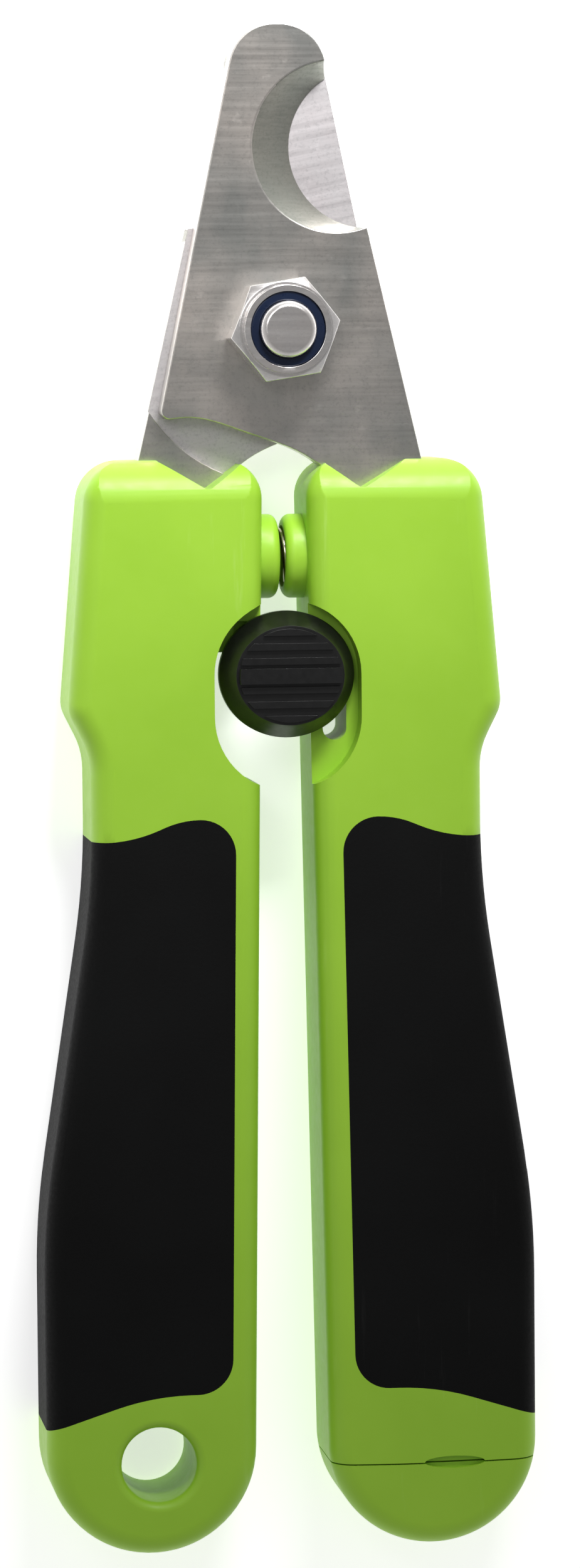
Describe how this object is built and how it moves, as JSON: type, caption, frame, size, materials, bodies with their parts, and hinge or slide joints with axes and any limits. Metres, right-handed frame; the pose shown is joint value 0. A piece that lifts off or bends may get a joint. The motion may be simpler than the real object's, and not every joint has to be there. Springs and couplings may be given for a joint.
{
  "type": "scissor nail clipper",
  "caption": "Scissor-action pet nail clipper with notched steel blades on a bolt, soft-grip handles, return spring, thumb lock and a nail file stored in the handle.",
  "frame": {"origin": "under the middle of the footprint, on the surface that the clipper lies on", "axes": "+Y from the handle ends to the blade tips, +Z out of the front face, the one with the lock nut, +X to the handle that holds the nail file"},
  "size_m": [0.052, 0.1596, 0.0165],
  "materials": {
    "blade_steel": "fine brushed stainless",
    "zinc_plate": "bright zinc plating",
    "insert_nylon": "dark blue nylon",
    "handle_plastic": "lime green, satin gloss",
    "soft_grip": "matt black soft-touch rubber",
    "spring_steel": "drawn spring wire",
    "lock_plastic": "satin black plastic",
    "file_steel": "etched file surface"
  },
  "bodies": {
    "left_half": {"rear_blade": "blade_steel", "left_handle": "handle_plastic", "left_grip": "soft_grip", "pivot_bolt": "zinc_plate", "pivot_nut": "zinc_plate", "nut_insert": "insert_nylon", "return_spring": "spring_steel"},
    "right_half": {"front_blade": "blade_steel", "right_handle": "handle_plastic", "right_grip": "soft_grip"},
    "lock": {"lock_button": "lock_plastic", "lock_retainer": "lock_plastic"},
    "file": {"file_cap": "handle_plastic", "nail_file": "file_steel"}
  },
  "joints": [
    {"name": "handle_pivot", "type": "hinge", "parent": "left_half", "child": "right_half", "pos_m": [0, 0.0482, 0.0065], "axis": [0, 0, 1], "range_deg": [0, 30], "deforming": ["return_spring"]},
    {"name": "lock_slide", "type": "slide", "parent": "right_half", "child": "lock", "axis": [0, -1, 0], "range_m": [0, 0.0044]},
    {"name": "file_slide", "type": "slide", "parent": "right_half", "child": "file", "axis": [0, -1, 0], "range_m": [0, 0.07]}
  ]
}
